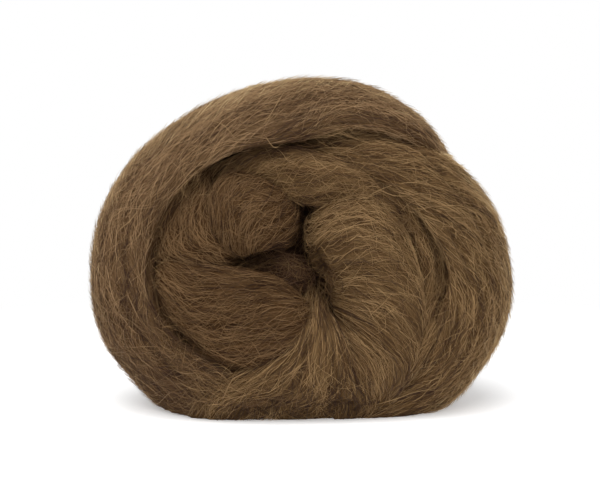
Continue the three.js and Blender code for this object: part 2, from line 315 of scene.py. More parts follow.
# Furrows in each turn's face where the band has split: the depth in millimetres, the half
# width in the photograph's pixels, and the route, x, y, x, y in the photograph.
FURROWS = {
    "outer_turn": [
        (2.6, 5.0, *CREASE),
        (1.8, 2.6, 130, 183, 139, 168, 152, 152, 170, 135, 195, 118),
        (0.9, 2.0, 143, 196, 154, 176, 170, 158, 190, 142, 212, 128),
        (1.5, 2.4, 140, 288, 147, 310, 160, 331, 182, 354, 205, 372, 230, 384),
        (1.5, 2.4, 118, 290, 125, 314, 137, 335, 152, 356, 172, 377, 198, 392),
        (0.9, 1.8, 104, 245, 108, 225, 118, 202, 133, 180),
        (1.2, 2.2, 240, 134, 265, 124, 300, 115, 340, 112, 385, 117, 424, 134),
        (1.0, 2.0, 225, 118, 258, 104, 300, 97, 345, 97),
        (0.9, 1.8, 300, 132, 335, 124, 375, 122, 410, 130, 436, 144),
        (0.9, 1.8, 128, 222, 124, 248, 126, 275, 134, 300),
    ],
    "left_fan": [
        (2.0, 4.0, *CREASE),
        (0.9, 1.8, 180, 208, 180, 228, 190, 248, 210, 258, 230, 261),
        (0.9, 1.8, 203, 196, 205, 215, 213, 232, 227, 244),
    ],
    "lower_lobe": [
        (2.0, 4.0, *CREASE),
        (0.7, 2.0, 170, 299, 200, 302, 235, 303, 268, 302, 290, 298),
        (0.8, 2.0, 180, 322, 210, 326, 245, 325, 275, 318),
        (0.6, 1.8, 168, 277, 200, 284, 240, 287, 272, 287),
        (0.7, 1.8, 192, 343, 218, 346, 245, 342, 268, 334),
    ],
    "second_turn": [
        (1.7, 2.6, 425, 163, 448, 180, 470, 206, 487, 238, 495, 275, 496, 300),
        (1.5, 2.4, 404, 178, 430, 203, 452, 232, 466, 262, 472, 292),
        (1.4, 2.4, 477, 262, 482, 292, 478, 322, 466, 350, 446, 374),
        (1.1, 2.0, 395, 137, 420, 152, 442, 171, 462, 196),
        (1.0, 2.0, 290, 150, 320, 147, 352, 147, 382, 152, 408, 162),
        (1.2, 2.2, 345, 150, 375, 156, 405, 168, 428, 186),
        (1.2, 2.2, 458, 300, 456, 326, 446, 350, 430, 374),
    ],
    "inner_cap": [
        (1.6, 2.4, 300, 151, 330, 153, 356, 163, 380, 180, 402, 204),
        (1.2, 4.0, 372, 190, 392, 200, 405, 218, 412, 242, 416, 262),
        (1.6, 2.2, 415, 212, 430, 234, 437, 258, 438, 284, 434, 308),
        (1.0, 1.8, 252, 162, 275, 156, 302, 155, 330, 162),
        (3.0, 4.0, 445, 294, 441, 308, 436, 320),
    ],
    "left_lobe": [
        (0.8, 1.8, 240, 236, 236, 218, 238, 202, 248, 188),
        (0.8, 1.8, 250, 240, 254, 222, 264, 208, 278, 200),
    ],
    "right_dome": [
        (3.0, 8.0, 309, 246, 316, 264, 329, 284),
        (0.5, 2.0, 336, 285, 352, 292, 366, 310, 374, 340, 376, 368),
        (0.5, 2.0, 322, 232, 345, 220, 370, 228, 392, 252, 406, 286),
    ],
    "bottom_fan": [
        (1.5, 2.4, 309, 322, 307, 345, 303, 366, 296, 392),
        (1.1, 2.2, 302, 342, 288, 362, 266, 380, 236, 394),
        (1.1, 2.0, 322, 330, 330, 352, 338, 378, 342, 402),
        (3.5, 6.0, 238, 408, 262, 406, 286, 404),
        (2.5, 5.0, 328, 406, 342, 404, 354, 405),
    ],
}
# Painted shade in the furrows: fibres in a furrow are darker, how much for each
# millimetre, and down to what depth.
FURROW_PAINTED_SHADE = (0.28, 1.6)

# Patches of painted light and shade on the fibres: the middle, the half sizes and how much
# lighter the fibres are painted.
PAINTED_LIGHT_AND_SHADE = [
    (262, 408, 34, 7, -0.6),
    (350, 405, 24, 9, -0.5),
    (292, 394, 15, 12, -0.6),
    (412, 393, 20, 12, -0.55),
    (402, 218, 8, 24, -0.1),
    (172, 256, 10, 26, 0.4),
    (232, 186, 28, 11, 0.3),
    (314, 334, 13, 14, -0.35),
    (258, 198, 18, 14, 0.3),
    (192, 245, 14, 22, 0.2),
    (309, 197, 9, 8, -0.5),
    (152, 285, 5, 42, -0.35),
    (178, 334, 14, 14, -0.2),
    (358, 165, 14, 8, -0.15),
    (333, 312, 8, 16, -0.35),
    (350, 322, 10, 26, -0.25),
    (350, 240, 22, 18, -0.12),
    (300, 215, 7, 30, -0.3),
    (262, 250, 26, 7, -0.25),
    (287, 244, 7, 9, 0.4),
    (292, 272, 26, 12, -0.15),
    (448, 265, 4, 24, -0.4),
    (450, 155, 16, 22, 0.25),
    (325, 165, 26, 9, 0.1),
    (250, 158, 26, 9, -0.2),
    (297, 146, 18, 7, -0.5),
    (278, 134, 26, 9, -0.5),
    (345, 135, 42, 5, 0.3),
    (290, 98, 40, 8, 0.12),
    (198, 178, 16, 14, 0.15),
]

# The relief of the fibres on every skin: width across the fibres, run along them, height.
RELIEF = [(9.0, 55.0, 0.7), (3.4, 30.0, 0.45), (1.6, 14.0, 0.2)]
# The fibres sway together off their turn's run: how far, and over what width and run.
SWAY = (1.2, 11.0, 26.0)
# Between these sines of the angle round a section the relief fades out towards the seam
# behind. The skin's faces are large beyond the second.
RELIEF_FADE = (-0.9, -0.45)
# Furrows fade out where a face turns away from the camera.
FURROW_FADE = (0.15, 0.45)
# A section counts as at least this wide and high, and a turn as at least this long.
THINNEST, SHORTEST = 1.0, 4.0


def between(rows, u):
    """Rows at even places from 0 to 1, read at u by Catmull-Rom between them."""
    last = len(rows) - 1
    place = np.clip(u, 0, 1) * last
    first = np.minimum(place.astype(int), last - 1)
    t = (place - first)[..., None]
    p0, p1, p2, p3 = (rows[np.clip(first + k, 0, last)] for k in (-1, 0, 1, 2))
    slope1, slope2, rise = (p2 - p0) / 2, (p3 - p1) / 2, p2 - p1
    square = 3 * rise - 2 * slope1 - slope2
    cube = slope1 + slope2 - 2 * rise
    return p1 + t * (slope1 + t * (square + t * cube))


class Turn:
    """One turn of the band, read at any place u along it (0 to 1) and angle round it.

    The angle is 0 at the outer edge, a quarter turn on the face and half a turn at the
    inner edge. seed is for its noise, colour is its middle shade, frizz is how unruly its
    fibres are and contrast is how far apart their tones are. shade is painted light and
    shade: how much lighter the fibres are painted, and drift how far they have drifted
    towards the outer edge in radians, both at even places along the turn.
    """

    # The drift dies out over RIM radians at the outer edge. No fibre lies nearer to it than
    # EDGE, and FAR times RIM away the drift is whole.
    RIM, EDGE, FAR = 0.3, 0.12, 40

    def __init__(self, name, rows, seed, colour, frizz, contrast, shade, drift):
        self.name, self.seed, self.colour = name, seed, colour
        self.frizz, self.contrast = frizz, contrast
        self.shade, self.drift = np.array(shade, float), np.array(drift, float)
        self.furrows = FURROWS.get(name, ())
        self.rows = np.pad(np.array(rows, float), ((0, 0), (0, 9 - len(rows[0]))))
        middles = (self.rows[:, 0:3] + self.rows[:, 3:6]) / 2
        self.length = float(np.linalg.norm(np.diff(middles, axis=0), axis=1).sum())
        halves = np.linalg.norm(self.rows[:, 0:3] - self.rows[:, 3:6], axis=1) / 2
        self.half = float(halves.mean())
        self.girth = float((halves + self.rows[:, 6]).mean() / 2)
        # Fibres that run aslant lie closer together than across their turn.
        slopes = np.diff(self.drift) * (len(self.drift) - 1) * self.girth / self.length
        self.pack = float((1 / np.hypot(1, slopes)).mean())
        self.side = 1.0
        u = np.linspace(0, 1, 25)
        centre, _, face, _, _ = self.section(u)
        outwards = (face * (centre - np.array(CORE["centre"], float))).sum()
        self.side = 1.0 if outwards > 0 else -1.0

    def section(self, u):
        """centre, half, face, along and the last three columns at u."""
        nudge = 0.004
        columns, ahead, behind = (between(self.rows, at) for at in (u, u + nudge, u - nudge))
        outer, inner = columns[..., 0:3], columns[..., 3:6]
        along = unit((ahead - behind)[..., 0:3] + (ahead - behind)[..., 3:6])
        half = (outer - inner) / 2
        face = self.side * unit(np.cross(along, half))
        return (outer + inner) / 2, half, face, along, columns[..., 6:9]

    def form(self, u, angle):
        """Points on the turn's smooth form, and the way it looks there."""
        centre, half, face, along, sizes = self.section(u)
        cos, sin = np.cos(angle)[..., None], np.sin(angle)[..., None]
        crown, belly, lead = (sizes[..., k, None] for k in range(3))
        height = np.where(sin > 0, crown, belly)
        point = centre + half * cos + face * sin * height + along * sin**2 * lead
        width = np.maximum(np.linalg.norm(half, axis=-1, keepdims=True), THINNEST)
        return point, unit(half / width**2 * cos + face * sin / np.maximum(height, THINNEST))

    def skin(self, u, angle, lift=0.0):
        """Points on the turn's skin, lifted off it by lift, and the way the skin looks."""
        point, normal = self.form(u, angle)
        proud = self.relief(u, angle) - self.sunk(point, normal) + lift
        return point + normal * proud[..., None], normal

    def drifted(self, u):
        return between(self.drift[:, None], u)[..., 0]

    def lane(self, u, angle):
        """Which fibre runs through a place: the same number all along it, in millimetres."""
        inside = np.maximum(angle, self.EDGE) / self.RIM
        start = self.RIM * np.log(np.expm1(np.minimum(inside, self.FAR))) + self.drifted(u)
        return start * self.girth * self.pack

    def angle_on(self, lane, u):
        """The angle of a fibre at u: the way back from lane."""
        start = lane / (self.girth * self.pack)
        return self.RIM * np.log1p(np.exp((start - self.drifted(u)) / self.RIM))

    def sway(self, u, lane):
        """How far the fibres near a place lie to the side of their turn's run."""
        size, width, run = SWAY
        return size * noise(self.seed + 7, lane / width, u * self.length / run)

    def relief(self, u, angle):
        """How far the fibres stand proud of the smooth form, in millimetres."""
        across, along = self.lane(u, angle), u * self.length / self.pack
        across = across - self.sway(u, across)
        proud = 0.0
        for k, (width, run, height) in enumerate(RELIEF):
            proud = proud + height * noise(self.seed + k, across / width, along / run)
        return proud * ease(*RELIEF_FADE, np.sin(angle))

    def sunk(self, point, normal):
        """How deep the turn's furrows are at a place, in millimetres."""
        depth = 0.0
        places = in_photo(point)
        for deep, width, *route in self.furrows:
            distance, share = off_route(places, route)
            tapered = np.sin(math.pi * share) ** 0.5
            depth = depth + deep * np.exp(-((distance / width) ** 2)) * tapered
        return depth * ease(*FURROW_FADE, normal @ TO_CAMERA)

    def speed(self, u, angle):
        """Millimetres of skin for each unit of u at a place."""
        step = 0.003
        ahead = self.form(np.clip(u + step, 0, 1), angle)[0]
        behind = self.form(np.clip(u - step, 0, 1), angle)[0]
        return np.maximum(np.linalg.norm(ahead - behind, axis=-1) / (2 * step), SHORTEST)

    def stretch(self, u, angle):
        """Square millimetres of skin for each unit of u and radian."""
        step = 0.002
        here, _ = self.form(u, angle)
        over = self.form(np.minimum(u + step, 1), angle)[0] - here
        round_ = self.form(u, angle + step)[0] - here
        return np.linalg.norm(np.cross(over, round_), axis=-1) / step**2


# The ball's lower left corner, seen from the front, is drawn in by so much round a middle.
CORNER = {"middle": (-67, 5), "halves": (22, 24), "drawn": (3.2, 2.6)}


def on_floor(points, rest=0.0):
    """Points with the corner drawn in, and with what lies below rest pressed flat on it."""
    off = (points[..., ::2] - CORNER["middle"]) / CORNER["halves"]
    near = np.exp(-(off**2).sum(-1))
    points = points.copy()
    points[..., ::2] += near[..., None] * CORNER["drawn"]
    points[..., 2] = np.maximum(points[..., 2], rest)
    return points


def new_object(name, data):
    """A new object in the scene."""
    obj = bpy.data.objects.new(name, data)
    bpy.context.scene.collection.objects.link(obj)
    return obj


def new_mesh(name, points, faces, material, maps):
    """An object from points in millimetres, faces as rows of corners, and its UV maps."""
    mesh = bpy.data.meshes.new(name)
    corners = [face for block in faces for face in block.tolist()]
    mesh.from_pydata(points * MM, [], corners, shade_flat=False)
    for map_name, uv in maps.items():
        layer = mesh.uv_layers.new(name=map_name)
        layer.uv.foreach_set("vector", uv.astype(np.float32).ravel())
    mesh.validate()
    mesh.materials.append(material)
    obj = new_object(name, mesh)
    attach(obj, "root")
    return obj


def ring_quads(rings, sides, columns):
    """Quads between rings of points, which close where there are as many columns as sides."""
    ring, side = np.meshgrid(np.arange(rings - 1) * columns, np.arange(sides), indexing="ij")
    there = (side + 1) % columns
    quads = [ring + side, ring + there, ring + columns + there, ring + columns + side]
    return np.stack(quads, -1).reshape(-1, 4)


def ring_caps(rings, sides):
    """Triangles that close the first and last ring with the two points after them all."""
    side, last, tip = np.arange(sides), (rings - 1) * sides, np.full(sides, rings * sides)
    there = (side + 1) % sides
    first = np.stack([tip, there, side], 1)
    return np.concatenate([first, np.stack([tip + 1, last + side, last + there], 1)])


# Sizes of a skin's faces: across the fibres on the face, across them behind, and along.
SKIN_STEP, BACK_STEP, SKIN_RUN = 0.6, 2.8, 2.5
LEAST_RINGS = 12
# A section is read at so many angles to lay out its faces.
ANGLE_SAMPLES = 720
# How far from the ends of its map a skin's caps are laid.
CAP_MAP = 0.002
# How much coarser the coil at the back is.
REAR_COARSE = 2.2

# Millimetres to a whole of the map of the fibres' run.
RUN_MAP_SIZE = 100.0


def skin_angles(turn, coarse):
    """Angles round a section, close on the face and wide apart behind."""
    angle = np.linspace(-math.pi / 2, 1.5 * math.pi, ANGLE_SAMPLES, endpoint=False)
    crown, belly = turn.rows[:, 6].mean(), turn.rows[:, 7].mean()
    height = np.where(np.sin(angle) > 0, crown, belly)
    speed = np.hypot(turn.half * np.sin(angle), height * np.cos(angle))
    step = np.where(np.sin(angle) > RELIEF_FADE[1], SKIN_STEP * coarse, BACK_STEP)
    reached = np.cumsum(speed * (angle[1] - angle[0]) / step)
    count = int(reached[-1])
    places = np.arange(count) * reached[-1] / count
    return np.interp(places, np.append(0, reached), np.append(angle, 1.5 * math.pi))


def skin_mesh(turn, material, coarse=1.0):
    """A turn's closed skin, with its ends drawn shut."""
    angles = skin_angles(turn, coarse)
    rings, sides = max(LEAST_RINGS, round(turn.length / SKIN_RUN)) + 1, len(angles)
    u = np.linspace(0, 1, rings)
    points, _ = turn.skin(*np.meshgrid(u, angles, indexing="ij"))
    ends = turn.section(np.array([0.0, 1.0]))[0]
    points = on_floor(np.concatenate([points.reshape(-1, 3), ends]))
    quads, caps = ring_quads(rings, sides, sides), ring_caps(rings, sides)
    # Around runs to 1 on the corners that close the ring.
    edge = np.append((angles + math.pi / 2) / (2 * math.pi), 1.0)
    places = np.stack(np.meshgrid(u, edge, indexing="ij"), -1).reshape(-1, 2)
    quad_uv = places[ring_quads(rings, sides, sides + 1)]
    side = np.arange(sides)
    cap_uv = np.concatenate([
        np.stack([
            np.stack([np.full(sides, at), (edge[side] + edge[side + 1]) / 2], 1),
            np.stack([np.full(sides, rim), edge[side + 1 - flip]], 1),
            np.stack([np.full(sides, rim), edge[side + flip]], 1),
        ], 1)
        for at, rim, flip in ((0.0, CAP_MAP, 0), (1.0, 1 - CAP_MAP, 1))
    ])
    if turn.side < 0:
        quads, caps = quads[:, ::-1], caps[:, ::-1]
        quad_uv, cap_uv = quad_uv[:, ::-1], cap_uv[:, ::-1]
    uv = np.concatenate([quad_uv.reshape(-1, 2), cap_uv.reshape(-1, 2)])
    across = turn.lane(uv[:, 0], uv[:, 1] * 2 * math.pi - math.pi / 2)
    across = across - turn.sway(uv[:, 0], across)
    run = np.stack([across, uv[:, 0] * turn.length / turn.pack], 1) / RUN_MAP_SIZE
    maps = {"OFBake": uv, "FibreRun": run}
    new_mesh(f"skin_{turn.name}", points, [quads, caps], material, maps)


# Corners round a fibre, and its height as a share of its width.
TUBE_SIDES = 3
TUBE_HEIGHT = 0.8

# The share of the tone map that one tube takes.
TONE_WIDTH = 0.008


def tube_mesh(name, paths, normals, radii, tones, material):
    """Closed tubes along paths, an array of tubes by points by x, y, z.

    They run to a point at both ends. tones is each tube's place from dark to light, by
    which the map lays it.
    """
    tubes, count = paths.shape[:2]
    ahead = unit(np.gradient(paths, axis=1))
    across = unit(np.cross(ahead, normals))
    up = np.cross(across, ahead)
    rings = []
    for k in range(TUBE_SIDES):
        angle = math.pi / 2 + 2 * math.pi * k / TUBE_SIDES
        out = across * math.cos(angle) + up * math.sin(angle) * TUBE_HEIGHT
        rings.append(paths + out * radii[..., None])
    body = np.stack(rings, 2)[:, 1:-1]
    points = np.concatenate([body.reshape(tubes, -1, 3), paths[:, :1], paths[:, -1:]], 1)
    # How far along its tube each point lies.
    at = np.append(np.repeat(np.arange(1, count - 1), TUBE_SIDES), [0, count - 1]) / (count - 1)
    base = np.arange(tubes)[:, None, None] * len(at)
    half = 0.5 * TONE_WIDTH
    middle = np.clip(tones, half, 1 - half)[:, None, None]
    faces, maps, tone = [], [], []
    for block, spread in (
        (ring_quads(count - 2, TUBE_SIDES, TUBE_SIDES), (-half, half, half, -half)),
        (ring_caps(count - 2, TUBE_SIDES), (0, half, -half)),
    ):
        faces.append((block + base).reshape(-1, block.shape[1]))
        u, v = np.broadcast_arrays(middle + np.array(spread), at[block])
        maps.append(np.stack([u, v], -1).reshape(-1, 2))
        tone.append(np.repeat(tones, block.size))
    uv = np.concatenate(maps)
    strand = np.stack([np.concatenate(tone), uv[:, 1]], 1)
    new_mesh(name, points.reshape(-1, 3), faces, material, {"OFBake": uv, "FibreTone": strand})


# The share of fibres where the camera of the photograph doesn't see, and between which
# looks to it they thin out.
REAR_SHARE = 0.22
REAR_EASE = (-0.35, 0.1)

# The kinds of fibre, in millimetres: points along one, how many to a square millimetre and
# what share of them off the outline, radius and length with their spreads, spread of the
# slant off the run, how high its middle and its tip lie at most, its waves' size and
# length, and its tone with its spread.
Kind = namedtuple("Kind", "points density face radius length slant middle tip wave tone")
KINDS = {
    "locks": Kind(8, 0.04, 1.0, (0.15, 0.04), (25, 7), 0.08, 0.3, 0.0, (0.3, 9), (0.47, 0.13)),
    "coat": Kind(6, 0.425, 1.0, (0.09, 0.025), (11, 3), 0.27, 0.8, 0.0, (0.25, 4.5), (0.53, 0.28)),
    "strays": Kind(6, 0.11, 0.9, (0.052, 0.015), (11, 4), 0.8, 1.3, 0.7, (0.5, 7), (0.82, 0.16)),
    "fuzz": Kind(5, 0.5, 0.0, (0.06, 0.015), (8, 2.5), 0.5, 0.3, 2.7, (0.4, 5), (0.6, 0.2)),
}
# Painted light: how much lighter the fibres are painted on the outline, where light comes through.
RIM_PAINTED_LIGHT = 0.2
# Fibres start a little inside the skin, and rest this high on the floor.
ROOT = 0.12
FIBRE_REST = 0.15
# Fibres that lie together share a tone: over what width and run, and how much.
FAMILIES = [(1.1, 20, 0.28), (4.5, 50, 0.18)]
# From where to where fibres lie, along a turn and round it: a little past both edges.
FIBRE_SPAN = (0.005, 0.995)
FIBRE_ANGLES = (-0.35, math.pi + 0.35)
# A turn's skin is measured at so many random places. This percentile counts as the most.
SAMPLES, MOST = 4000, 99.5
# No fibre starts lower than this.
LOWEST = 0.2
# The shortest fibre as a share of the middle length, the longest as a share of its turn,
# the bend as a share of the slant, and the spreads of the waves' length and size.
LENGTH_SHARE, TURN_SHARE, BEND_SHARE = 0.35, 0.6, 0.6
WAVE_LENGTHS, WAVE_SIZES = (0.7, 1.4), (0.2, 1.3)


def tapering(way):
    """How thick a fibre is along its way, as a share of its middle."""
    return 1 - (2 * way - 1) ** 4


def draw_places(turn, density, face, rng, buried):
    """Random places on a turn that no other turn covers, fewer by face off the rim."""
    u = rng.uniform(*FIBRE_SPAN, SAMPLES)
    angle = rng.uniform(*FIBRE_ANGLES, SAMPLES)
    stretch = turn.stretch(u, angle)
    span = FIBRE_SPAN[1] - FIBRE_SPAN[0]
    area = stretch.mean() * span * (FIBRE_ANGLES[1] - FIBRE_ANGLES[0])
    most = np.percentile(stretch, MOST)
    tries = round(round(density * area) * most / stretch.mean())
    u = rng.uniform(*FIBRE_SPAN, tries)
    angle = rng.uniform(*FIBRE_ANGLES, tries)
    keep = rng.uniform(0, 1, tries) < turn.stretch(u, angle) / most
    u, angle = u[keep], angle[keep]
    point, normal = turn.form(u, angle)
    share = REAR_SHARE + (1 - REAR_SHARE) * ease(*REAR_EASE, normal @ TO_CAMERA)
    share *= face + (1 - face) * on_outline(point, normal)
    keep = rng.uniform(0, 1, len(u)) < share
    keep &= point[:, 2] > LOWEST
    u, angle, point = u[keep], angle[keep], point[keep]
    shown = ~buried(point)
    return u[shown], angle[shown]


def fibres(turn, name, rng, buried, material):
    """One kind of fibre all over a turn, following its run."""
    kind = KINDS[name]
    u, angle = draw_places(turn, kind.density, kind.face, rng, buried)
    count, column = len(u), (len(u), 1)
    if not count:
        return
    length = np.maximum(rng.normal(*kind.length, count), LENGTH_SHARE * kind.length[0])
    speed = turn.speed(u, angle) / turn.pack
    reach = np.minimum(length / speed, TURN_SHARE)
    length = reach * speed
    way = np.linspace(0, 1, kind.points)
    start = np.clip(u - reach / 2, 0, 1 - reach)
    us = start[:, None] + reach[:, None] * way
    lane = turn.lane(u, angle)[:, None]
    slant = rng.normal(0, kind.slant * turn.frizz, column) * length[:, None]
    bend = rng.normal(0, BEND_SHARE * kind.slant * turn.frizz, column) * length[:, None]
    size, wave = kind.wave
    turns = us * turn.length / turn.pack / (wave * rng.uniform(*WAVE_LENGTHS, column))
    phase = 2 * math.pi * (turns + rng.uniform(0, 1, column))
    sideways = slant * (way - 0.5) + bend * (way - 0.5) ** 2
    sideways = sideways + size * rng.uniform(*WAVE_SIZES, column) * np.sin(phase)
    angles = turn.angle_on(lane + sideways + turn.sway(us, lane), us)
    rise = rng.uniform(0, 1, column)
    lift = kind.middle * rise * np.sin(math.pi * way) ** 0.7 + kind.tip * rise * way**1.7
    path, normal = turn.skin(us, angles, lift - ROOT)
    if kind.tip:
        backwards = rng.uniform(0, 1, count) < 0.5
        path[backwards], normal[backwards] = path[backwards, ::-1], normal[backwards, ::-1]
    path = on_floor(path, FIBRE_REST)
    radius = np.abs(rng.normal(*kind.radius, column)) * tapering(way)
    across, along = lane[:, 0], u * turn.length / turn.pack
    middle, spread = kind.tone
    tones = middle + rng.normal(0, spread * turn.contrast, count)
    # Painted light and shade along the turn.
    tones += np.interp(u, np.linspace(0, 1, len(turn.shade)), turn.shade)
    point, facing = turn.form(u, angle)
    # Painted shade: fibres are darker in the furrows.
    shade, deepest = FURROW_PAINTED_SHADE
    tones -= shade * np.minimum(turn.sunk(point, facing), deepest)
    # Painted light on the outline, where light comes through.
    if name != "fuzz":
        tones += RIM_PAINTED_LIGHT * on_outline(point, facing)
    # Patches of painted light and shade.
    tones += painted_light_and_shade_at(in_photo(point))
    for k, (width, run, height) in enumerate(FAMILIES):
        patch = noise(turn.seed + 20 + k, across / width, along / run)
        tones += height * turn.contrast * patch
    tube_mesh(f"{name}_{turn.name}", path, normal, radius, np.clip(tones, 0, 1), material)


# Single fibres that lie loose over the face, each through x, y, x, y in the photograph.
LOOSE_FIBRES = [
    (285, 92, 281, 104, 272, 117, 262, 128),
    (182, 168, 185, 178, 184, 192),
    (262, 133, 272, 142, 286, 148),
    (252, 371, 236, 379, 226, 389, 222, 400),
    (480, 228, 484, 236, 488, 229),
    (206, 404, 215, 399, 226, 402),
    (372, 404, 392, 396, 415, 389, 440, 386),
    (362, 197, 385, 188, 410, 184, 430, 186),
    (375, 188, 392, 196, 412, 196),
    (120, 232, 132, 222, 141, 208),
    (210, 122, 226, 130, 238, 143),
    (330, 236, 352, 226, 380, 222),
    (455, 205, 470, 214, 482, 230),
]
LOOSE = {"points": 9, "radius": 0.12, "lift": 1.7, "ends": 0.4, "tone": 1.0}


def loose_fibres(surface, material):
    """The single fibres, laid on the surface where the camera sees it."""
    share = np.linspace(0, 1, LOOSE["points"])
    paths, normals = [], []
    for places in LOOSE_FIBRES:
        spots, looks = [], []
        for place in zip(places[::2], places[1::2]):
            eye, way = photo_ray(place)
            spot, look, _, _ = surface.ray_cast(Vector(eye), Vector(way))
            if spot is not None:
                spots.append(np.array(spot) / MM)
                looks.append(np.array(look))
        at = np.linspace(0, 1, len(spots))
        path, look = (
            np.stack([np.interp(share, at, column) for column in zip(*rows)], 1)
            for rows in (spots, looks)
        )
        look = unit(look)
        # Rounded off, and lifted between its ends.
        for _ in range(2):
            path[1:-1] = (path[:-2] + 2 * path[1:-1] + path[2:]) / 4
        height = LOOSE["lift"] * (LOOSE["ends"] + np.sin(math.pi * share))
        paths.append(path + look * height[:, None])
        normals.append(look)
    radii = np.tile(LOOSE["radius"] * tapering(share), (len(paths), 1))
    tones = np.full(len(paths), LOOSE["tone"])
    tube_mesh("loose_fibres", np.array(paths), np.array(normals), radii, tones, material)


# Patches of tangled fibres: the middle and half sizes in the photograph, the way the fibres
# run in degrees up from the right with its spread, their lengths, their number and tone.
TANGLES = [
    # The first, in the slit of the hollow, is darker: painted shade.
    (300, 225, 7, 30, 85, 18, 12, 36, 60, 0.25),
    (268, 262, 34, 7, 8, 20, 14, 44, 70, 0.4),
    (326, 290, 16, 18, 115, 30, 14, 34, 90, 0.4),
    (292, 270, 16, 10, 0, 90, 8, 22, 60, 0.55),
    (312, 300, 14, 20, 80, 35, 14, 34, 60, 0.5),
    (350, 176, 44, 16, 170, 50, 10, 28, 110, 0.7),
    (404, 222, 12, 30, 125, 50, 8, 24, 130, 0.5),
    (158, 250, 5, 60, 60, 30, 10, 26, 70, 0.6),
    (190, 190, 20, 20, 50, 35, 10, 30, 80, 0.6),
    (172, 345, 24, 34, 130, 50, 12, 36, 140, 0.5),
    (212, 388, 32, 12, 150, 25, 20, 46, 90, 0.6),
    (197, 402, 11, 11, 145, 40, 14, 36, 80, 0.5),
    (245, 388, 40, 12, 28, 22, 28, 60, 70, 0.7),
    (300, 392, 66, 14, 75, 50, 20, 48, 60, 0.7),
    (345, 134, 46, 6, 175, 14, 24, 60, 90, 0.55),
    (440, 290, 9, 40, 85, 35, 8, 24, 110, 0.6),
]
TANGLE = {"points": 6, "radius": 0.06, "lift": 0.8, "bow": 0.2, "tone_spread": 0.2}
# The spreads of their lift and radius, as shares of these.
TANGLE_LIFTS, TANGLE_RADII = (0.2, 1.5), (0.6, 1.5)


def tangles(surface, rng, material):
    """Fibres that cross one another in patches, and bridge the gaps between the turns."""
    share = np.linspace(0, 1, TANGLE["points"])
    paths, tones = [], []
    for x, y, half_x, half_y, way, spread, short, long, count, tone in TANGLES:
        for _ in range(count):
            place = np.array((x, y)) + rng.normal(0, 0.5, 2) * (half_x, half_y)
            angle = math.radians(rng.normal(way, spread))
            run = np.array([math.cos(angle), -math.sin(angle)])
            length = rng.uniform(short, long)
            bow = rng.normal(0, TANGLE["bow"]) * length * np.array([-run[1], run[0]])
            spots = []
            for at, aside in ((-0.5, 0), (0.5, 0), (0, 1)):
                eye, ray = photo_ray(place + run * at * length + bow * aside)
                _, _, _, distance = surface.ray_cast(Vector(eye), Vector(ray))
                if distance is None:
                    break
                # The middle bridges what lies deeper than the ends.
                if aside:
                    between_ends = (spots[0] + spots[1]) / 2 * MM
                    distance = min(distance, np.linalg.norm(between_ends - eye))
                lift = TANGLE["lift"] * rng.uniform(*TANGLE_LIFTS) * MM
                spots.append((eye + ray * (distance - lift)) / MM)
            if len(spots) < 3:
                continue
            start, end, top = spots
            lean = 2 * top - (start + end) / 2
            t = share[:, None]
            paths.append((1 - t) ** 2 * start + 2 * t * (1 - t) * lean + t**2 * end)
            tones.append(tone + rng.normal(0, TANGLE["tone_spread"]))
    paths, tones = np.array(paths), np.array(tones)
    # Patches of painted light and shade.
    tones = tones + painted_light_and_shade_at(in_photo(paths[:, TANGLE["points"] // 2]))
    normals = np.broadcast_to(TO_CAMERA, paths.shape)
    radii = TANGLE["radius"] * rng.uniform(*TANGLE_RADII, len(paths))[:, None] * tapering(share)
    paths = on_floor(paths, FIBRE_REST)
    tube_mesh("tangles", paths, normals, radii, np.clip(tones, 0, 1), material)


def srgb(*parts):
    """A colour given in the usual 0 to 255, as Blender's linear numbers."""
    parts = np.array(parts) / 255
    return np.where(parts <= 0.04045, parts / 12.92, ((parts + 0.055) / 1.055) ** 2.4)


class Nodes:
    """A short way to write a material's nodes."""

    def __init__(self, name):
        self.material = bpy.data.materials.new(name)
        self.material.use_nodes = True
        self.tree = self.material.node_tree
        self.shader = self.tree.nodes["Principled BSDF"]

    def add(self, kind, settings=None, **inputs):
        node = self.tree.nodes.new("ShaderNode" + kind)
        for key, value in (settings or {}).items():
            setattr(node, key, value)
        self.fill(node, **inputs)
        return node

    def fill(self, node, **inputs):
        for key, value in inputs.items():
            self.set(node.inputs[key.replace("_", " ")], value)

    def set(self, socket, value):
        if isinstance(value, bpy.types.NodeSocket):
            self.tree.links.new(value, socket)
        else:
            socket.default_value = value

    def ramp(self, factor, stops):
        node = self.add("ValToRGB", Fac=factor)
        elements = node.color_ramp.elements
        while len(elements) < len(stops):
            elements.new(0.5)
        for element, (place, colour) in zip(elements, stops):
            element.position, element.color = place, (*colour, 1.0)
        return node.outputs["Color"]

    def math(self, operation, first, second=0.5):
        node = self.add("Math", {"operation": operation})
        self.set(node.inputs[0], first)
        self.set(node.inputs[1], second)
        return node.outputs[0]

    def streaks(self, place, scale, angle=0.0, detail=2.0):
        """Noise drawn out along one way: its factor at a place."""
        mapping = self.add("Mapping", Vector=place)
        mapping.inputs["Scale"].default_value = (*scale, 1)
        mapping.inputs["Rotation"].default_value = (0, 0, angle)
        texture = self.add("TexNoise", Scale=1.0, Detail=detail, Roughness=0.6)
        self.set(texture.inputs["Vector"], mapping.outputs["Vector"])
        return texture.outputs["Fac"]


# The turns' middle shades, and what the darkest and lightest fibre are of them.
OUTER_SHADE = srgb(116, 88, 60)
MIDDLE_SHADE = srgb(116, 88, 57)
# The lobes' colour is a darker copy of the others': painted shade for the lobes set into the face.
LOBE_PAINTED_SHADE = srgb(93, 67, 42)
DARKEST, LIGHTEST = np.array([0.24, 0.21, 0.31]), np.array([2.15, 2.45, 2.75])
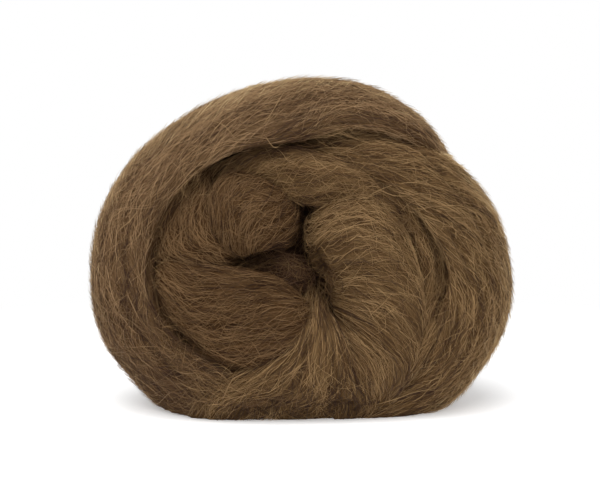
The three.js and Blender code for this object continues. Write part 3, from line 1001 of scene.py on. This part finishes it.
# The fuzz is painted lighter, as light shines through it: painted light.
FUZZ_PAINTED_LIGHT = srgb(155, 127, 90)
# What the shades of the skins, the core and the fibres deep inside are of the full shade,
# all painted shade: the dark gaps between fibres, the bottom of the hollow and the deep strand.
SKIN_PAINTED_SHADE = 0.45
CORE_PAINTED_SHADE = np.array([0.45, 0.43, 0.6])
DEEP_PAINTED_SHADE = np.array([0.95, 0.93, 1.15])

FIBRE_ROUGHNESS = 0.55
FIBRE_SPECULAR = 0.1
# How much a fibre's tone changes along it.
TONE_CHANGE = 0.3


# Each turn's rows, seed, colour, frizz, contrast, painted light and shade along it, and drift along
# it.
TURNS = {
    "outer_turn": (
        OUTER_TURN, 100, OUTER_SHADE, 1.6, 1.15,
        (-0.2, -0.28, -0.15, 0.05, 0.12, 0.1, 0.05, 0, 0, 0),
        (0, 0, 0.1, 0, 0.1, 0.25, 0.7, 1.35, 1.45, 1.4, 1.4, 1.4, 1.4),
    ),
    "second_turn": (
        SECOND_TURN, 120, MIDDLE_SHADE, 1.0, 1.4,
        (0, 0.05, 0.1, 0.1, 0, 0, 0),
        (0, 0.5, 0.85, 1.15, 1.6, 2.1, 2.5, 2.85, 3.1, 3.15, 2.95, 2.6, 2.2),
    ),
    "inner_cap": (
        INNER_CAP, 140, MIDDLE_SHADE, 1.2, 0.95,
        (-0.1, 0, 0, 0.05, 0.1, 0.2, 0.2, 0.1),
        (0, 1.2, 1.9, 2.3, 2.9, 3.6, 3.8, 3.8, 3.6, 3.2, 2.7, 2.3, 2.0),
    ),
    "left_lobe": (
        LEFT_LOBE, 160, LOBE_PAINTED_SHADE, 0.8, 1.6,
        (0.35, 0.3, 0.15, 0, 0),
        (0, 0, 0.3, 0.8, 1.3, 1.6, 1.8, 1.9, 2.05, 2.2, 2.3, 2.3, 2.3),
    ),
    "left_fan": (
        LEFT_FAN, 180, LOBE_PAINTED_SHADE, 0.6, 1.8,
        (0.35, 0.4, 0.45, 0.25),
        (0, 0.5, 0.9, 1.15, 1.25, 1.25, 1.2, 1.2, 1.2, 1.2, 1.25, 1.4, 1.5),
    ),
    "lower_lobe": (
        LOWER_LOBE, 200, LOBE_PAINTED_SHADE, 0.7, 1.25,
        (0.2, 0.15, 0, 0, 0.05),
        (0.3, 0.2, 0, -0.2, -0.1, 0.05, 0.2, 0.3, 0.35, 0.45, 0.6, 0.7, 0.8),
    ),
    "right_dome": (
        RIGHT_DOME, 220, MIDDLE_SHADE, 0.75, 1.05,
        (0, 0.03, 0.08, 0.1, 0.05, 0),
        (0, 0, 0.3, 0.8, 1.05, 1.3, 1.75, 2.4, 3.05, 3.75, 4.6, 5.4, 6.0),
    ),
    "bottom_fan": (
        BOTTOM_FAN, 240, MIDDLE_SHADE, 0.6, 1.75,
        (-0.05, 0.05, 0.1, 0.05, 0),
        (0, 0, 0.1, 0.25, 0.35, 0.4, 0.45, 0.5, 0.5, 0.5, 0.5, 0.5, 0.5),
    ),
    # The middle strand deep in the hollow is darker: painted shade.
    "middle_strand": (
        MIDDLE_STRAND, 260, LOBE_PAINTED_SHADE * DEEP_PAINTED_SHADE, 2.0, 1.0,
        (0, 0),
        (0, 0),
    ),
    "back_coil": (
        back_coil_rows(BACK_COIL), 280, OUTER_SHADE, 1.2, 1.0,
        (0, 0),
        (0, 0),
    ),
}


def finish_fibre(nodes, specular):
    nodes.fill(nodes.shader, Roughness=FIBRE_ROUGHNESS, Specular_IOR_Level=specular)
    return nodes.material


def fibre_material(name, colour):
    """Fibres: each its own shade from dark to light, that changes a little along it."""
    nodes = Nodes(f"alpaca_fibre_{name}")
    spot = nodes.add("UVMap", {"uv_map": "FibreTone"}).outputs["UV"]
    split = nodes.add("SeparateXYZ", Vector=spot)
    change = nodes.math("MULTIPLY_ADD", nodes.streaks(spot, (90, 5)), TONE_CHANGE)
    change.node.inputs[2].default_value = -TONE_CHANGE / 2
    tone = nodes.math("ADD", split.outputs["X"], change)
    stops = [(0, colour * DARKEST), (0.5, colour), (1, colour * LIGHTEST)]
    nodes.fill(nodes.shader, Base_Color=nodes.ramp(tone, stops))
    return finish_fibre(nodes, FIBRE_SPECULAR)


def skin_material(name, colour):
    """Skins: streaks along the fibres, from dark gaps to light threads."""
    nodes = Nodes(f"alpaca_skin_{name}")
    spot = nodes.add("UVMap", {"uv_map": "FibreRun"}).outputs["UV"]
    wide = nodes.streaks(spot, (70, 4), 0.12)
    fine = nodes.streaks(spot, (190, 9), -0.14, 3.0)
    factor = nodes.math("MULTIPLY", nodes.math("ADD", wide, fine), 0.5)
    stops = [(0.32, colour * DARKEST), (0.5, colour), (0.7, colour * LIGHTEST)]
    colours = nodes.ramp(factor, stops)
    bump = nodes.add("Bump", Strength=0.5, Distance=0.0003, Height=factor)
    nodes.fill(nodes.shader, Base_Color=colours, Normal=bump.outputs["Normal"])
    return finish_fibre(nodes, 0.0)


def make_camera():
    data = bpy.data.cameras.new("camera")
    data.lens, data.sensor_width, data.sensor_fit = CAMERA["lens"], CAMERA["sensor"], "HORIZONTAL"
    eye, _, _, ahead = camera_axes()
    camera = new_object("camera", data)
    camera.location = eye
    camera.rotation_euler = Vector(ahead).to_track_quat("-Z", "Y").to_euler()
    bpy.context.scene.camera = camera


# Light from all round, as a share of the white that the camera sees, and two broad lights:
# the way each shines from, its spread in degrees and its strength.
AMBIENT = 0.4
LIGHTS = (
    ("key", (-0.2, -0.55, 1.0), 50.0, 2.85),
    ("fill", (0.4, -1.0, 0.4), 60.0, 0.85),
)
FLOOR_SIZE = 8.0
# Round the ball the floor is lit and glows a little, so that its shadow is faint. Between
# these distances in metres it turns to a plain white glow.
FLOOR_REACH = (0.16, 0.28)
FLOOR_LOOK = {"Base Color": (0.9, 0.0), "Emission Strength": (0.34, 1.0)}


def make_studio():
    scene = bpy.context.scene
    scene.view_settings.view_transform = "Standard"
    world = bpy.data.worlds.new("studio")
    world.use_nodes = True
    tree = world.node_tree
    background = tree.nodes["Background"]
    background.inputs["Color"].default_value = (1, 1, 1, 1)
    # The camera sees pure white, and the ball gets a dimmer light.
    strength = tree.nodes.new("ShaderNodeMapRange")
    strength.inputs["To Min"].default_value = AMBIENT
    strength.inputs["To Max"].default_value = 1.0
    seen = tree.nodes.new("ShaderNodeLightPath")
    tree.links.new(seen.outputs["Is Camera Ray"], strength.inputs["Value"])
    tree.links.new(strength.outputs["Result"], background.inputs["Strength"])
    scene.world = world
    for name, way, spread, strength in LIGHTS:
        data = bpy.data.lights.new(name, "SUN")
        data.angle, data.energy = math.radians(spread), strength
        light = new_object(name, data)
        light.location = way
        light.rotation_euler = Vector(way).to_track_quat("Z", "Y").to_euler()


def make_floor():
    half = FLOOR_SIZE / 2
    corners = [(-half, -half, 0), (half, -half, 0), (half, half, 0), (-half, half, 0)]
    mesh = bpy.data.meshes.new("floor")
    mesh.from_pydata(corners, [], [(0, 1, 2, 3)])
    nodes = Nodes("floor_white")
    spot = nodes.add("TexCoord").outputs["Object"]
    off = nodes.add("VectorMath", {"operation": "LENGTH"}, Vector=spot).outputs["Value"]
    near, far = FLOOR_REACH
    for socket, (close, away) in FLOOR_LOOK.items():
        change = nodes.add("MapRange", Value=off, From_Min=near, From_Max=far)
        nodes.fill(change, To_Min=close, To_Max=away)
        nodes.set(nodes.shader.inputs[socket], change.outputs["Result"])
    nodes.fill(nodes.shader, Emission_Color=(1, 1, 1, 1), Roughness=0.9, Specular_IOR_Level=0.0)
    mesh.materials.append(nodes.material)
    floor = new_object("floor", mesh)


# How far the core's skin lies inside the solid's core.
CORE_INSET = (0.6, 6.0, 0.6)
CORE_RINGS, CORE_SIDES = 47, 96
# The core's sizes in the map of the fibres' run.
CORE_RUN = (2.0, 4.0)


def core_mesh(material):
    """The filled inside, which shows only as the dark at the bottom of the hollow: painted shade.
    """
    u, v = np.linspace(0, 1, CORE_RINGS + 2), np.linspace(0, 1, CORE_SIDES + 1)
    polar, turn = np.meshgrid(u[1:-1] * math.pi, v[:-1] * 2 * math.pi, indexing="ij")
    centre, halves = np.array(CORE["centre"], float), np.array(CORE["halves"], float) - CORE_INSET
    ball = np.stack([np.sin(polar) * np.cos(turn), np.sin(polar) * np.sin(turn), np.cos(polar)], -1)
    poles = np.array([[0, 0, 1.0], [0, 0, -1.0]])
    points = on_floor(centre + np.concatenate([ball.reshape(-1, 3), poles]) * halves)
    # The rings run the other way round than a skin's.
    quads = np.roll(ring_quads(CORE_RINGS, CORE_SIDES, CORE_SIDES)[:, ::-1], 1, 1)
    caps = ring_caps(CORE_RINGS, CORE_SIDES)[:, ::-1]
    corners = np.concatenate([quads.ravel(), caps.ravel()])
    around = np.concatenate([np.tile(v[:-1], CORE_RINGS), [0.5, 0.5]])[corners]
    down = np.concatenate([np.repeat(u[1:-1], CORE_SIDES), [0, 1]])[corners]
    uv = np.stack([around, down], 1)
    run = np.stack([down * CORE_RUN[0], around * CORE_RUN[1]], 1)
    return new_mesh("skin_core", points, [quads, caps], material, {"OFBake": uv, "FibreRun": run})


# Fibres that start so many metres inside the solid are left out.
BURIED = 0.0012
FIBRE_SEED = 7


def main():
    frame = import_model()
    make_camera()
    make_studio()
    make_floor()
    solid = frame["nodes"][CAD_NODE]
    surface = BVHTree.FromPolygons(
        [v.co[:] for v in solid.data.vertices], [p.vertices[:] for p in solid.data.polygons]
    )

    def buried(points):
        hidden = np.zeros(len(points), bool)
        for i, point in enumerate(points * MM):
            near, normal, _, distance = surface.find_nearest(Vector(point))
            hidden[i] = distance > BURIED and (Vector(point) - near).dot(normal) < 0
        return hidden

    turns = [Turn(name, *TURNS[name]) for name in TURNS]
    rng = np.random.default_rng(FIBRE_SEED)
    # The fuzz's lighter colour is painted light.
    fuzz = fibre_material("fuzz", FUZZ_PAINTED_LIGHT)
    for turn in turns:
        hair = fibre_material(turn.name, turn.colour)
        coarse = REAR_COARSE if turn.name == "back_coil" else 1.0
        # The skins are darker than the fibres: painted shade for the gaps between them.
        skin_mesh(turn, skin_material(turn.name, turn.colour * SKIN_PAINTED_SHADE), coarse)
        for name in KINDS:
            fibres(turn, name, rng, buried, fuzz if name == "fuzz" else hair)
    loose = fibre_material("loose", MIDDLE_SHADE)
    loose_fibres(surface, loose)
    tangles(surface, rng, loose)
    # The core's dark colour is painted shade at the bottom of the hollow.
    core = core_mesh(skin_material("core", LOBE_PAINTED_SHADE * CORE_PAINTED_SHADE))
    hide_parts(CAD_NODE)


main()
